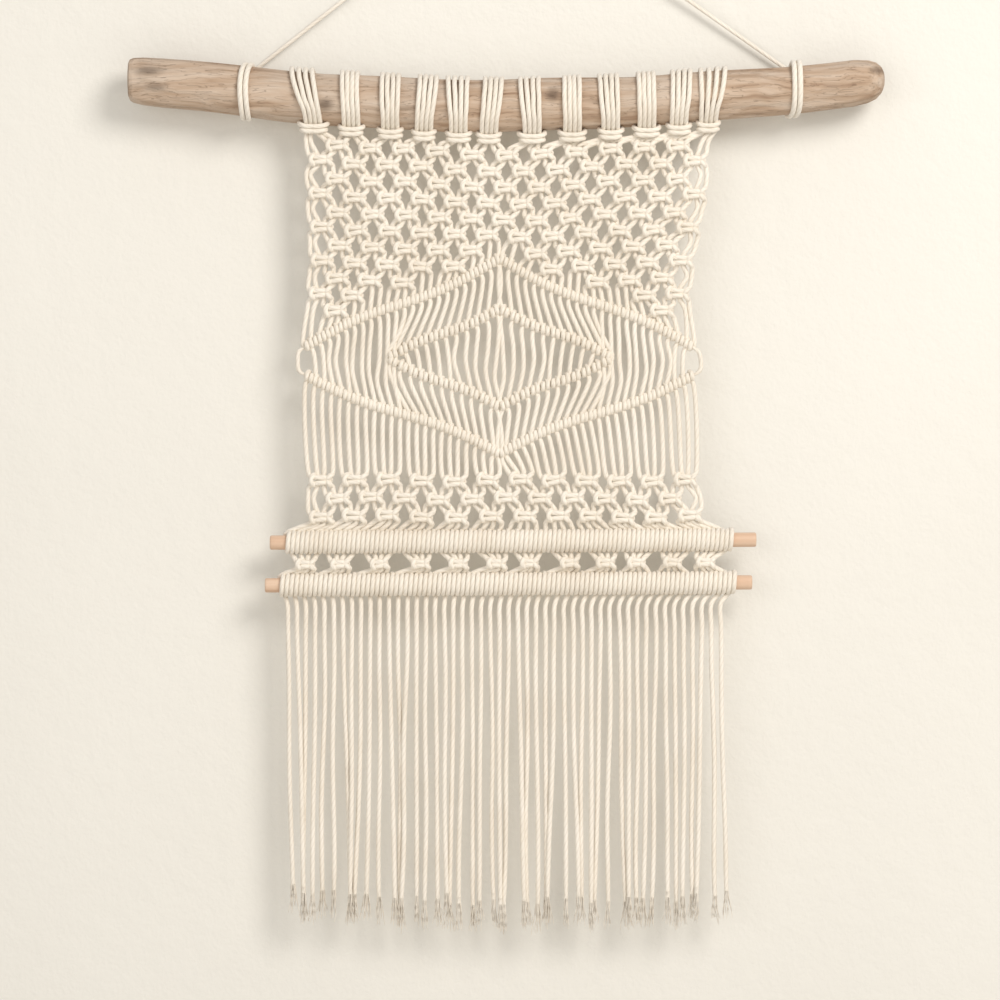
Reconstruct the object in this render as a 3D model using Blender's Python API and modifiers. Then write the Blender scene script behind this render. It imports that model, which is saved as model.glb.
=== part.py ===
"""A macrame wall hanging: cotton cord knotted on a driftwood branch, with two hitched dowels and a fringe.

Metres, +Z up, +X to the right, the front faces -Y. The origin is the nail's top, under the bend of the
hanging string. Every knotted panel is a flat slab in one upright plane, with its largest gaps cut through.
"""

import math

import bpy
from mathutils import Matrix

# What the maker starts from
CORD = 0.003
STRING = 0.0026
GAP = 0.0005

# The branch: a bowed stick whose back touches the wall
BRANCH_Y = -0.009
BRANCH_LEFT, BRANCH_RIGHT = -0.236, 0.237
BRANCH_HALF = 0.236
BRANCH_LOW_Z = -0.146
BRANCH_BOW = 0.0165
BRANCH_MID_R, BRANCH_THINNING = 0.0163, 0.0016
BOW_POWER = 1.5
# radius left over near each end, as (distance from the end, share of the radius)
BLUNT_END = ((0.0, 0.74), (0.003, 0.90), (0.009, 0.97), (0.022, 1.0))
ROUND_END = ((0.0, 0.30), (0.0018, 0.55), (0.005, 0.78), (0.010, 0.92), (0.019, 1.0))

# The hanging string, its two turns at each side, and where it leaves them
WRAP_LEFT_X, WRAP_RIGHT_X = -0.163, 0.1805
WRAP_WIDTH = 0.0078
STRING_LEAVES_ABOVE = 0.0115
STRING_BEND_R = 0.0062
STRING_STEP = 0.007

# Twelve groups of four cords: (x at the branch's top, x at the bar)
GROUPS = (
    (-0.1276, -0.1207),
    (-0.0978, -0.0969),
    (-0.0724, -0.0724),
    (-0.0486, -0.0514),
    (-0.0301, -0.0298),
    (-0.0078, -0.0107),
    (0.0147, 0.0163),
    (0.0411, 0.0414),
    (0.0640, 0.0655),
    (0.0875, 0.0881),
    (0.1097, 0.1082),
    (0.1295, 0.1267),
)
GROUP_WIDTH = 0.0176
BAR_THICK = 0.0045
BAR_ANGLE = math.radians(-104)
BAR_SPREAD = 0.30

# The knotted cloth: one plane, and its two side edges as (z, left x, right x)
CLOTH_Y = -0.014
NET_THICK = 0.0068
FIELD_THICK = 0.0032
EDGES = (
    (-0.160, -0.1282, 0.1300),
    (-0.205, -0.1273, 0.1267),
    (-0.236, -0.1252, 0.1208),
    (-0.268, -0.1262, 0.1176),
    (-0.299, -0.1292, 0.1198),
    (-0.330, -0.1290, 0.1220),
    (-0.368, -0.1282, 0.1230),
    (-0.381, -0.1262, 0.1230),
    (-0.403, -0.1262, 0.1262),
    (-0.4115, -0.1330, 0.1340),
)

# Nets of alternating square knots
KNOTS_ACROSS = 12
NET_TOP_Z = -0.1680
NET_FIRST_ROW_Z = -0.1718
NET_ROW = 0.0102
NET_ROWS = 14
HOLE_WIDE, HOLE_HIGH = 0.0064, 0.0092
NET_EDGE_STRIP = 0.006

# The middle panel: two nested lozenges of hitched ridges
PANEL_MID_X = -0.004
RIDGE_R = 0.0031
RIDGE_Y = CLOTH_Y - 0.001
UPPER_PEAK_Z, UPPER_SIDE_Z = -0.2415, -0.2990
LOWER_SIDE_Z, LOWER_POINT_Z = -0.3130, -0.3640
INNER_HALF, INNER_TOP_Z, INNER_LOW_Z = 0.070, -0.2730, -0.3350
RIDGE_STEPS = 22
RIDGE_CLEAR = 0.0041
RIDGE_BULGE = 0.10
SLOT_COUNT = 24
SLOT_WIDE = 0.0026
SLOT_END = 0.0028

# Lower net
LOWER_NET_TOP_Z, LOWER_NET_LOW_Z = -0.3715, -0.4110
LOWER_FIRST_ROW_Z, LOWER_ROW = -0.3806, 0.0113

# Dowels and the bands hitched round them: (name, z at the middle, x from, x to, band from, band to)
DOWEL_R = 0.0045
DOWELS = (
    ("upper", -0.4188, -0.1480, 0.1568, -0.1379, 0.1423),
    ("lower", -0.4456, -0.1511, 0.1542, -0.1417, 0.1442),
)
DOWEL_RISE = 0.0062
BAND_R = DOWEL_R + CORD - 0.0002

# The short knots between the dowels
BRIDGE_X = (-0.1254, -0.1035, -0.0790, -0.0533, -0.0295, -0.0056,
            0.0150, 0.0401, 0.0627, 0.0821, 0.1047, 0.1254)
BRIDGE_WIDE, BRIDGE_THICK = 0.0125, 0.0060
BRIDGE_SPLAY = 0.0012

# Fringe
FRINGE_CORDS = 48
FRINGE_LEFT, FRINGE_RIGHT = -0.1370, 0.1345
FRINGE_LOW_Z, FRINGE_CURVE = -0.6625, 0.0065
FRINGE_STRIP = 0.003
FRINGE_SWAY = 0.0016
FRINGE_POINTS = 5


def between(table, x, column):
    """The value in one column of a table at x, straight between its rows; the first column falls or rises."""
    rows = sorted(table)
    if x <= rows[0][0]:
        return rows[0][column]
    for low, high in zip(rows, rows[1:]):
        if x <= high[0]:
            share = (x - low[0]) / (high[0] - low[0])
            return low[column] + share * (high[column] - low[column])
    return rows[-1][column]


def material(name, colour, roughness):
    """A plain material of one colour, not metallic."""
    made = bpy.data.materials.new(name)
    made.use_nodes = True
    shader = made.node_tree.nodes["Principled BSDF"]
    shader.inputs["Base Color"].default_value = (*colour, 1)
    shader.inputs["Roughness"].default_value = roughness
    shader.inputs["Metallic"].default_value = 0
    return made


def curve_object(name, collection, finish, dimensions):
    """An empty curve object in the collection, with its material."""
    data = bpy.data.curves.new(name, "CURVE")
    data.dimensions = dimensions
    data.materials.append(finish)
    made = bpy.data.objects.new(name, data)
    collection.objects.link(made)
    return made


def add_loop(curve, points, closed, radii=None):
    """One straight-sided spline through the points, with a radius factor at each when given."""
    spline = curve.splines.new("POLY")
    spline.points.add(len(points) - 1)
    for i, point in enumerate(points):
        full = tuple(point) + (0.0,) * (3 - len(point))
        spline.points[i].co = (*full, 1)
        spline.points[i].radius = radii[i] if radii else 1
    spline.use_cyclic_u = closed


def tube(name, collection, finish, points, radius, resolution, radii=None, closed=False):
    """A round tube along the points with filled caps."""
    made = curve_object(name, collection, finish, "3D")
    made.data.bevel_depth = radius
    made.data.bevel_resolution = resolution
    made.data.use_fill_caps = not closed
    add_loop(made.data, points, closed, radii)
    return made


def slab(name, collection, finish, outline, holes, thick):
    """A flat plate in the cloth's upright plane: an outline of (x, z) with holes through it."""
    made = curve_object(name, collection, finish, "2D")
    made.data.fill_mode = "BOTH"
    made.data.extrude = thick / 2
    for loop in [outline, *holes]:
        add_loop(made.data, loop, True)
    made.location = (0, CLOTH_Y, 0)
    made.rotation_euler = (math.pi / 2, 0, 0)
    return made


def sleeve(name, collection, finish, inner, outer, length, steps=28):
    """A turned ring round local Z: its section runs down the outer side and up the inner one."""
    half = length / 2
    section = [(outer, half), (outer, -half), (inner, -half), (inner, half)]
    mesh = bpy.data.meshes.new(name)
    mesh.from_pydata([(r, 0, z) for r, z in section], [(0, 1), (1, 2), (2, 3), (3, 0)], [])
    mesh.materials.append(finish)
    made = bpy.data.objects.new(name, mesh)
    collection.objects.link(made)
    turn = made.modifiers.new("turn", "SCREW")
    turn.steps = turn.render_steps = steps
    turn.use_merge_vertices = True
    turn.merge_threshold = 0.00001
    return made


# ---- the branch and its string ----

def branch_z(x):
    """Height of the branch's axis: lowest in the middle, rising to both ends."""
    return BRANCH_LOW_Z + BRANCH_BOW * (abs(x) / BRANCH_HALF) ** BOW_POWER


def branch_slope(x):
    """Rise of the branch's axis per metre at x."""
    step = 0.002
    return (branch_z(x + step) - branch_z(x - step)) / (2 * step)


def branch_radius(x):
    """The branch thins a little towards both ends."""
    return BRANCH_MID_R - BRANCH_THINNING * (abs(x) / BRANCH_HALF) ** BOW_POWER


def driftwood(collection, finish):
    """The branch as a tube whose radius follows the thinning, blunt at the left and rounded at the right."""
    stations = [(BRANCH_LEFT + d, share) for d, share in BLUNT_END]
    middle = 30
    first, last = stations[-1][0], BRANCH_RIGHT - ROUND_END[-1][0]
    stations += [(first + (last - first) * i / middle, 1.0) for i in range(1, middle)]
    stations += [(BRANCH_RIGHT - d, share) for d, share in reversed(ROUND_END)]
    points = [(x, BRANCH_Y, branch_z(x)) for x, _ in stations]
    radii = [share * branch_radius(x) / BRANCH_MID_R for x, share in stations]
    tube("driftwood", collection, finish, points, BRANCH_MID_R, 4, radii)


def string_wraps(collection, finish):
    """Two turns of string round the branch at each side, as one ring square to the branch."""
    for name, x in (("string_wrap_left", WRAP_LEFT_X), ("string_wrap_right", WRAP_RIGHT_X)):
        inner = branch_radius(x) + GAP
        ring = sleeve(name, collection, finish, inner, inner + STRING, WRAP_WIDTH)
        turn = Matrix.Rotation(-math.atan(branch_slope(x)), 4, "Y") @ Matrix.Rotation(math.pi / 2, 4, "Y")
        ring.rotation_euler = turn.to_euler()
        ring.location = (x, BRANCH_Y, branch_z(x))


def string_end(x):
    """Where the string meets a wrap: resting on it, behind the branch and above its axis."""
    reach = branch_radius(x) + GAP + STRING + GAP + STRING / 2
    back = math.sqrt(reach ** 2 - STRING_LEAVES_ABOVE ** 2)
    return (x, BRANCH_Y + back, branch_z(x) + STRING_LEAVES_ABOVE)


def string_route():
    """Straight up from behind the left wrap, a round bend over the nail, and straight down to the right wrap."""
    ends = [string_end(x) for x in (WRAP_LEFT_X, WRAP_RIGHT_X)]
    falls = [math.atan2(-z, abs(x)) for x, _, z in ends]
    centre_z = STRING / 2 - STRING_BEND_R
    bend = []
    steps = 8
    for i in range(steps + 1):
        angle = math.pi / 2 + falls[0] - (falls[0] + falls[1]) * i / steps
        bend.append((STRING_BEND_R * math.cos(angle), 0.0, centre_z + STRING_BEND_R * math.sin(angle)))
    route = []
    for start, goal in ((ends[0], bend[0]), (bend[-1], ends[1])):
        count = round(math.dist(start, goal) / STRING_STEP)
        leg = [[a + (b - a) * i / count for a, b in zip(start, goal)] for i in range(count + 1)]
        route.append(leg)
    return route[0] + bend[1:-1] + route[1]


def mounting_knots(collection, finish):
    """A ring of four strands round the branch, thickened at the lower front where the bar lies."""
    steps = 20
    for number, (x_top, x_bar) in enumerate(GROUPS, 1):
        x = (x_top + x_bar) / 2
        inner = branch_radius(x) + GAP
        made = curve_object(f"mounting_knot_{number:02d}", collection, finish, "2D")
        made.data.fill_mode = "BOTH"
        made.data.extrude = GROUP_WIDTH / 2
        outer_loop, inner_loop = [], []
        for i in range(steps):
            angle = BAR_ANGLE + 2 * math.pi * i / steps
            away = abs((angle - BAR_ANGLE + math.pi) % (2 * math.pi) - math.pi)
            out = inner + CORD + BAR_THICK * math.exp(-((away / BAR_SPREAD) ** 2))
            outer_loop.append((out * math.cos(angle), out * math.sin(angle)))
            wide = inner / math.cos(math.pi / steps)
            inner_loop.append((wide * math.cos(angle), wide * math.sin(angle)))
        add_loop(made.data, outer_loop, True)
        add_loop(made.data, inner_loop, True)
        upright = Matrix.Rotation(math.pi / 2, 4, "Z") @ Matrix.Rotation(math.pi / 2, 4, "X")
        turn = Matrix.Rotation(-math.atan(branch_slope(x)), 4, "Y") @ upright
        made.rotation_euler = turn.to_euler()
        made.location = (x, BRANCH_Y, branch_z(x))


# ---- the knotted cloth ----

def left_edge(z):
    return between(EDGES, z, 1)


def right_edge(z):
    return between(EDGES, z, 2)


def bar_bottom(x_bar):
    """Height of the underside of a mounting knot's bar."""
    reach = branch_radius(x_bar) + GAP + CORD + BAR_THICK
    return branch_z(x_bar) + reach * math.sin(BAR_ANGLE)


def chevron(x, side_z, point_z, half_left, half_right):
    """A ridge line from one height at the sides to another at the middle, bowed softly between."""
    half = half_left if x < PANEL_MID_X else half_right
    share = 1 - min(1, abs(x - PANEL_MID_X) / half)
    bowed = share + RIDGE_BULGE * math.sin(2 * math.pi * share) / 2
    return side_z + (point_z - side_z) * bowed


def upper_ridge_z(x):
    return chevron(x, UPPER_SIDE_Z, UPPER_PEAK_Z,
                   PANEL_MID_X - left_edge(UPPER_SIDE_Z), right_edge(UPPER_SIDE_Z) - PANEL_MID_X)


def lower_ridge_z(x):
    return chevron(x, LOWER_SIDE_Z, LOWER_POINT_Z,
                   PANEL_MID_X - left_edge(LOWER_SIDE_Z), right_edge(LOWER_SIDE_Z) - PANEL_MID_X)


def inner_ridge_z(x, point_z):
    middle = (INNER_TOP_Z + INNER_LOW_Z) / 2
    return chevron(x, middle, point_z, INNER_HALF, INNER_HALF)


def spaced(first, last, count):
    return [first + (last - first) * i / count for i in range(count + 1)]


def ridge_points(line, first, last):
    return [(x, RIDGE_Y, line(x)) for x in spaced(first, last, RIDGE_STEPS)]


def ridges(collection, finish):
    """The hitched ridges, each a tube along its line; the inner one closes on itself."""
    inset = RIDGE_R + 0.001
    upper = ridge_points(upper_ridge_z, left_edge(UPPER_SIDE_Z) + inset, right_edge(UPPER_SIDE_Z) - inset)
    tube("ridge_upper", collection, finish, upper, RIDGE_R, 2)
    lower = ridge_points(lower_ridge_z, left_edge(LOWER_SIDE_Z) + inset, right_edge(LOWER_SIDE_Z) - inset)
    tube("ridge_lower", collection, finish, lower, RIDGE_R, 2)
    first, last = PANEL_MID_X - INNER_HALF, PANEL_MID_X + INNER_HALF
    top = ridge_points(lambda x: inner_ridge_z(x, INNER_TOP_Z), first, last)
    low = ridge_points(lambda x: inner_ridge_z(x, INNER_LOW_Z), last, first)
    tube("ridge_inner", collection, finish, top[:-1] + low[:-1], RIDGE_R, 2, closed=True)


def knot_x(z, place):
    """x of a place counted in knots from the left edge, at height z."""
    left, right = left_edge(z), right_edge(z)
    return left + (right - left) * place / KNOTS_ACROSS


def diamond(x, z):
    """A gap between four knots."""
    wide, high = HOLE_WIDE / 2, HOLE_HIGH / 2
    return [(x - wide, z), (x, z - high), (x + wide, z), (x, z + high)]


def row_gaps(z, full):
    """Where the gaps of a row lie: between its knots, of which a full row has one more than the next."""
    offset = 1.0 if full else 0.5
    count = KNOTS_ACROSS - 1 if full else KNOTS_ACROSS
    return [knot_x(z, offset + i) for i in range(count)]


def side_points(z_from, z_to, edge):
    """Points down one edge of the cloth, at its table's own heights."""
    low, high = sorted((z_from, z_to))
    inside = [z for z, _, _ in EDGES if low < z < high]
    heights = sorted([z_from, z_to, *inside], reverse=z_from > z_to)
    return [(edge(z), z) for z in heights]


def upper_net(collection, finish):
    """The slab under the branch: notched under the bars, closed below by the upper ridge, with diamond gaps."""
    top = [(left_edge(NET_TOP_Z), NET_TOP_Z)]
    notch_half = GROUP_WIDTH / 2 + 2 * GAP
    for x_top, x_bar in GROUPS:
        x = (x_top + x_bar) / 2
        under = bar_bottom(x) - 2 * GAP
        low = max(x - notch_half, top[-1][0] + GAP)
        high = min(x + notch_half, right_edge(NET_TOP_Z) - GAP)
        if under < NET_TOP_Z:
            top += [(low, NET_TOP_Z), (low, under), (high, under), (high, NET_TOP_Z)]
        else:
            inset = CORD / 2
            top += [(low, NET_TOP_Z), (low + inset, under), (high - inset, under), (high, NET_TOP_Z)]
    top.append((right_edge(NET_TOP_Z), NET_TOP_Z))
    ridge_side = UPPER_SIDE_Z + RIDGE_CLEAR
    right = side_points(NET_TOP_Z, ridge_side, right_edge)[1:]
    below = [(x, upper_ridge_z(x) + RIDGE_CLEAR)
             for x in spaced(right_edge(ridge_side), left_edge(ridge_side), RIDGE_STEPS)][1:]
    left = side_points(ridge_side, NET_TOP_Z, left_edge)[1:-1]
    holes = []
    for row in range(1, NET_ROWS):
        z = NET_FIRST_ROW_Z - NET_ROW * row
        for x in row_gaps(z, row % 2 == 1):
            floor_z = max(upper_ridge_z(x + s * HOLE_WIDE / 2) for s in (-1, 0, 1)) + RIDGE_CLEAR
            inside = left_edge(z) + NET_EDGE_STRIP < x < right_edge(z) - NET_EDGE_STRIP
            if inside and z - HOLE_HIGH / 2 > floor_z + CORD / 2:
                holes.append(diamond(x, z))
    slab("upper_net", collection, finish, top + right + below + left, holes, NET_THICK)


def slots(x_list, spans):
    """Upright slots: spans(x) gives the free heights at x as (top, bottom) pairs."""
    made = []
    for x in x_list:
        left, right = spans(x - SLOT_WIDE / 2), spans(x + SLOT_WIDE / 2)
        for (top_a, low_a), (top_b, low_b) in zip(left, right):
            tall = min(top_a, top_b) - max(low_a, low_b) - 2 * SLOT_END
            if tall > 2 * SLOT_WIDE:
                made.append([
                    (x - SLOT_WIDE / 2, top_a - SLOT_END),
                    (x - SLOT_WIDE / 2, low_a + SLOT_END),
                    (x + SLOT_WIDE / 2, low_b + SLOT_END),
                    (x + SLOT_WIDE / 2, top_b - SLOT_END),
                ])
    return made


def slot_places(z):
    """Where the slots stand between the cords, at height z."""
    left, right = left_edge(z), right_edge(z)
    return spaced(left, right, SLOT_COUNT)[1:-1]


def fields(collection, finish):
    """The free cords between the ridges: one slab round the inner lozenge, one inside it, one below."""
    middle_z = (UPPER_SIDE_Z + LOWER_SIDE_Z) / 2
    left, right = left_edge(middle_z) + CORD, right_edge(middle_z) - CORD

    def outer_top(x):
        return upper_ridge_z(x) - RIDGE_CLEAR

    def outer_low(x):
        return lower_ridge_z(x) + RIDGE_CLEAR

    def ring_top(x):
        return inner_ridge_z(x, INNER_TOP_Z) + RIDGE_CLEAR

    def ring_low(x):
        return inner_ridge_z(x, INNER_LOW_Z) - RIDGE_CLEAR

    def outer_spans(x):
        if abs(x - PANEL_MID_X) < INNER_HALF + 2 * CORD:
            return [(outer_top(x), ring_top(x)), (ring_low(x), outer_low(x))]
        return [(outer_top(x), outer_low(x))]

    across = spaced(left, right, RIDGE_STEPS)
    outline = [(x, outer_top(x)) for x in across] + [(x, outer_low(x)) for x in reversed(across)]
    ring_half = INNER_HALF + RIDGE_CLEAR
    ring = spaced(PANEL_MID_X - ring_half, PANEL_MID_X + ring_half, RIDGE_STEPS)
    hole = [(x, ring_top(x)) for x in ring] + [(x, ring_low(x)) for x in reversed(ring)]
    gaps = slots(slot_places(middle_z), outer_spans)
    slab("field_outer", collection, finish, outline, [hole] + gaps, FIELD_THICK)

    def core_top(x):
        return inner_ridge_z(x, INNER_TOP_Z) - RIDGE_CLEAR

    def core_low(x):
        return inner_ridge_z(x, INNER_LOW_Z) + RIDGE_CLEAR

    core_half = INNER_HALF - 3 * RIDGE_CLEAR
    core = spaced(PANEL_MID_X - core_half, PANEL_MID_X + core_half, RIDGE_STEPS)
    outline = [(x, core_top(x)) for x in core] + [(x, core_low(x)) for x in reversed(core)]
    near = [x for x in slot_places(middle_z) if abs(x - PANEL_MID_X) < core_half - SLOT_WIDE]
    gaps = slots(near, lambda x: [(core_top(x), core_low(x))])
    slab("field_inner", collection, finish, outline, gaps, FIELD_THICK)

    def curtain_top(x):
        return lower_ridge_z(x) - RIDGE_CLEAR

    floor_z = LOWER_NET_TOP_Z + GAP
    side_z = LOWER_SIDE_Z - RIDGE_CLEAR
    across = spaced(left_edge(side_z), right_edge(side_z), RIDGE_STEPS)
    top = [(x, curtain_top(x)) for x in across]
    outline = top + side_points(side_z, floor_z, right_edge)[1:] + side_points(floor_z, side_z, left_edge)[:-1]
    gaps = slots(slot_places(side_z), lambda x: [(curtain_top(x), floor_z)])
    slab("lower_curtain", collection, finish, outline, gaps, FIELD_THICK)


def lower_net(collection, finish):
    """Three rows of square knots down to the upper dowel, with the gaps between them."""
    low_left, low_right = (dowel_z(DOWELS[0], edge(LOWER_NET_LOW_Z)) + BAND_R + 2 * GAP
                           for edge in (left_edge, right_edge))
    right = side_points(LOWER_NET_TOP_Z, low_right, right_edge)
    left = side_points(low_left, LOWER_NET_TOP_Z, left_edge)
    holes = []
    for row in range(3):
        z = LOWER_FIRST_ROW_Z - LOWER_ROW * row
        for x in row_gaps(z, row % 2 == 0):
            if left_edge(z) + NET_EDGE_STRIP < x < right_edge(z) - NET_EDGE_STRIP:
                holes.append(diamond(x, z))
    slab("lower_net", collection, finish, right + left, holes, NET_THICK)


# ---- dowels, bands, bridge knots and fringe ----

def dowel_z(row, x):
    """Height of a dowel's axis: it rises a little to the right."""
    return row[1] + DOWEL_RISE * x


def dowels(collection, wood, cotton):
    """Each dowel is a plain rod, with its band as a sleeve clear of it."""
    tilt = Matrix.Rotation(-math.atan(DOWEL_RISE), 4, "Y") @ Matrix.Rotation(math.pi / 2, 4, "Y")
    for row in DOWELS:
        name, _, x_from, x_to, band_from, band_to = row
        middle = (x_from + x_to) / 2
        bpy.ops.mesh.primitive_cylinder_add(
            vertices=24, radius=DOWEL_R, depth=x_to - x_from,
            location=(middle, CLOTH_Y, dowel_z(row, middle)), rotation=tilt.to_euler())
        rod = bpy.context.object
        rod.name = rod.data.name = "dowel_" + name
        rod.data.materials.append(wood)
        for owner in list(rod.users_collection):
            owner.objects.unlink(rod)
        collection.objects.link(rod)
        middle = (band_from + band_to) / 2
        inner = DOWEL_R + 0.0004
        band = sleeve("band_" + name, collection, cotton, inner, BAND_R, band_to - band_from)
        band.rotation_euler = tilt.to_euler()
        band.location = (middle, CLOTH_Y, dowel_z(row, middle))


def bridge_knots(collection, finish):
    """Four cords drawn together between the bands, leaning out to the lower left."""
    upper, lower = DOWELS
    for number, x in enumerate(BRIDGE_X, 1):
        top = dowel_z(upper, x) - BAND_R - 2 * GAP
        low = dowel_z(lower, x) + BAND_R + 2 * GAP
        half = BRIDGE_WIDE / 2
        outline = [(x - half, top), (x - half - BRIDGE_SPLAY, low), (x + half, low), (x + half, top)]
        slab(f"bridge_knot_{number:02d}", collection, finish, outline, [], BRIDGE_THICK)


def fringe_sway(number, share):
    """Sideways drift of a fringe cord, the same way for its neighbours, growing down its length."""
    phase = 2 * math.pi * number / FRINGE_CORDS
    return FRINGE_SWAY * share * math.sin(3 * phase + 2.2 * share) + FRINGE_SWAY * share * math.sin(7 * phase) / 2


def fringe(collection, finish):
    """One comb: a strip under the lower band, and a tooth for each cord."""
    lower = DOWELS[1]
    pitch = (FRINGE_RIGHT - FRINGE_LEFT) / (FRINGE_CORDS - 1)
    half = CORD / 2
    strip_left, strip_right = FRINGE_LEFT - half, FRINGE_RIGHT + half

    def strip_top(x):
        return dowel_z(lower, x) - BAND_R - 2 * GAP

    outline = [(strip_left, strip_top(strip_left)), (strip_right, strip_top(strip_right))]
    start = strip_top(strip_left) - FRINGE_STRIP
    for number in reversed(range(FRINGE_CORDS)):
        x = FRINGE_LEFT + pitch * number
        across = 2 * number / (FRINGE_CORDS - 1) - 1
        end = FRINGE_LOW_Z + FRINGE_CURVE * across * across
        shares = spaced(0, 1, FRINGE_POINTS - 1)
        line = [(x + fringe_sway(number, s), start + (end - start) * s) for s in shares]
        outline += [(px + half, pz) for px, pz in line]
        outline += [(px - half, pz) for px, pz in reversed(line)]
    slab("fringe", collection, finish, outline, [], CORD)


def build():
    """Every piece of the hanging, in one collection."""
    for old in list(bpy.data.objects):
        bpy.data.objects.remove(old, do_unlink=True)
    parts = bpy.data.collections.new("macrame_wall_hanging")
    bpy.context.scene.collection.children.link(parts)
    grey_wood = material("driftwood", (0.58, 0.45, 0.33), 0.75)
    birch = material("birch", (0.72, 0.52, 0.36), 0.55)
    cotton = material("cotton", (0.88, 0.80, 0.68), 0.9)

    driftwood(parts, grey_wood)
    string_wraps(parts, cotton)
    tube("hanging_string", parts, cotton, string_route(), STRING / 2, 2)
    mounting_knots(parts, cotton)
    upper_net(parts, cotton)
    ridges(parts, cotton)
    fields(parts, cotton)
    lower_net(parts, cotton)
    dowels(parts, birch, cotton)
    bridge_knots(parts, cotton)
    fringe(parts, cotton)


build()
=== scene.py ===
"""The macrame wall hanging's finish: every cord as a tube along its real way through the knots, the
driftwood and dowels with their grain, and a plain pale wall and floor to show it on.

Lengths are in metres. x runs to the right, z up, and the wall lies at +y behind the hanging."""

import math

import bpy
import numpy as np
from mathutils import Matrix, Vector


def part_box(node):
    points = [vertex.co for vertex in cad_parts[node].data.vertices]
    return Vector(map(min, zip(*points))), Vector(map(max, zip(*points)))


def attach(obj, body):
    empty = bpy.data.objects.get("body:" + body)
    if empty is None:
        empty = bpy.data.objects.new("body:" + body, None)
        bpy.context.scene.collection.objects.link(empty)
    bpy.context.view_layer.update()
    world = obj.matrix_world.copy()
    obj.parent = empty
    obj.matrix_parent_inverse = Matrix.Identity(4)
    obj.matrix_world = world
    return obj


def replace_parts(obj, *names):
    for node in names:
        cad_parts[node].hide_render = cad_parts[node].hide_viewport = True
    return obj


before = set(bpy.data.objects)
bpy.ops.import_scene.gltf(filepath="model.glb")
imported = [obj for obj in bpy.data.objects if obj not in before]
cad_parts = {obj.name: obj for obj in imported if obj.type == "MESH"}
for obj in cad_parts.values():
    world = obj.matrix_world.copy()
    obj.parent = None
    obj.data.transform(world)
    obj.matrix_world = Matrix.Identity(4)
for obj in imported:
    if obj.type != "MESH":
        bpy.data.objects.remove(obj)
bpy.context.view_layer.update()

# ---- sizes, from the frame wherever it has them ----

CORD_R = 0.00154          # soft three-millimetre cotton cord, a little fuller where it lies free
STRING_R = 0.0013         # hanging string
GRIP_R = 0.00150          # cord drawn tight in a hitch
SEED = 20

CLOTH_Y = float(np.mean([corner[1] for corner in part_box("upper_net")]))
BRANCH_LOW, BRANCH_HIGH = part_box("driftwood")
BRANCH_Y = (BRANCH_LOW[1] + BRANCH_HIGH[1]) / 2
BRANCH_MID_R = (BRANCH_HIGH[1] - BRANCH_LOW[1]) / 2
BRANCH_HALF = 0.236
BRANCH_BOW, BRANCH_THINNING, BOW_POWER = 0.0165, 0.0016, 1.5
BRANCH_MID_Z = BRANCH_LOW[2] + BRANCH_MID_R

GROUPS = 12
CORDS = 4 * GROUPS

# How each group sits on the branch: how far its strands lean to the right from bar to top, and the
# distance between its first and last strand at the top
GROUP_LEAN = (-0.0069, -0.0009, 0.0000, 0.0028, -0.0003, 0.0029,
              -0.0016, -0.0003, -0.0015, -0.0006, 0.0015, 0.0028)
GROUP_SPREAD = (0.0128, 0.0096, 0.0103, 0.0103, 0.0121, 0.0103,
                0.0115, 0.0092, 0.0109, 0.0092, 0.0109, 0.0150)
BAR_REACH = (0.0088, 0.0072, 0.0072, 0.0068, 0.0072, 0.0070, 0.0080, 0.0080, 0.0069, 0.0077, 0.0069, 0.0066)
BAR_BELOW = 0.0044        # the bar's middle under the branch's lowest line
BAR_FORWARD = 0.0040      # and in front of the cloth's plane

# Side edges of the cloth: (z, left x, right x)
EDGES = np.array((
    (-0.4120, -0.1330, 0.1340),
    (-0.4030, -0.1262, 0.1262),
    (-0.3810, -0.1262, 0.1230),
    (-0.3680, -0.1282, 0.1230),
    (-0.3300, -0.1290, 0.1220),
    (-0.2990, -0.1292, 0.1198),
    (-0.2680, -0.1262, 0.1176),
    (-0.2360, -0.1252, 0.1208),
    (-0.2050, -0.1273, 0.1267),
    (-0.1600, -0.1282, 0.1300),
))

NET_FIRST_ROW_Z, NET_ROW, NET_ROWS = -0.1766, 0.0102, 13
NET_RISE, NET_RISE_AT = 0.0070, 0.110      # rows rise like the branch, by this much this far out
LOWER_FIRST_ROW_Z, LOWER_ROW = -0.3806, 0.0113

PANEL_MID_X = -0.004
UPPER_SIDE_Z, UPPER_PEAK_Z = -0.2990, -0.2415
LOWER_SIDE_Z, LOWER_POINT_Z = -0.3130, -0.3640
INNER_HALF, INNER_TOP_Z, INNER_LOW_Z = 0.070, -0.2730, -0.3350
RIDGE_BULGE = 0.10
RIDGE_Y = CLOTH_Y - 0.0005
RIDGE_WRAP_R = 0.0019

DOWEL_WRAP_R = 0.0045 + GRIP_R

BRIDGE_X = np.array([float(np.mean([corner[0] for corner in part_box(f"bridge_knot_{i:02d}")]))
                     for i in range(1, GROUPS + 1)])

rng = np.random.default_rng(SEED)


# ---- shared sums ----

def left_edge(z):
    return np.interp(z, EDGES[:, 0], EDGES[:, 1])


def right_edge(z):
    return np.interp(z, EDGES[:, 0], EDGES[:, 2])


def place_x(z, place):
    """x of a place counted in knots from the left edge, at height z."""
    left, right = left_edge(z), right_edge(z)
    return left + (right - left) * place / GROUPS


def branch_z(x):
    return BRANCH_MID_Z + BRANCH_BOW * (np.abs(x) / BRANCH_HALF) ** BOW_POWER


def branch_r(x):
    return BRANCH_MID_R - BRANCH_THINNING * (np.abs(x) / BRANCH_HALF) ** BOW_POWER


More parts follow.
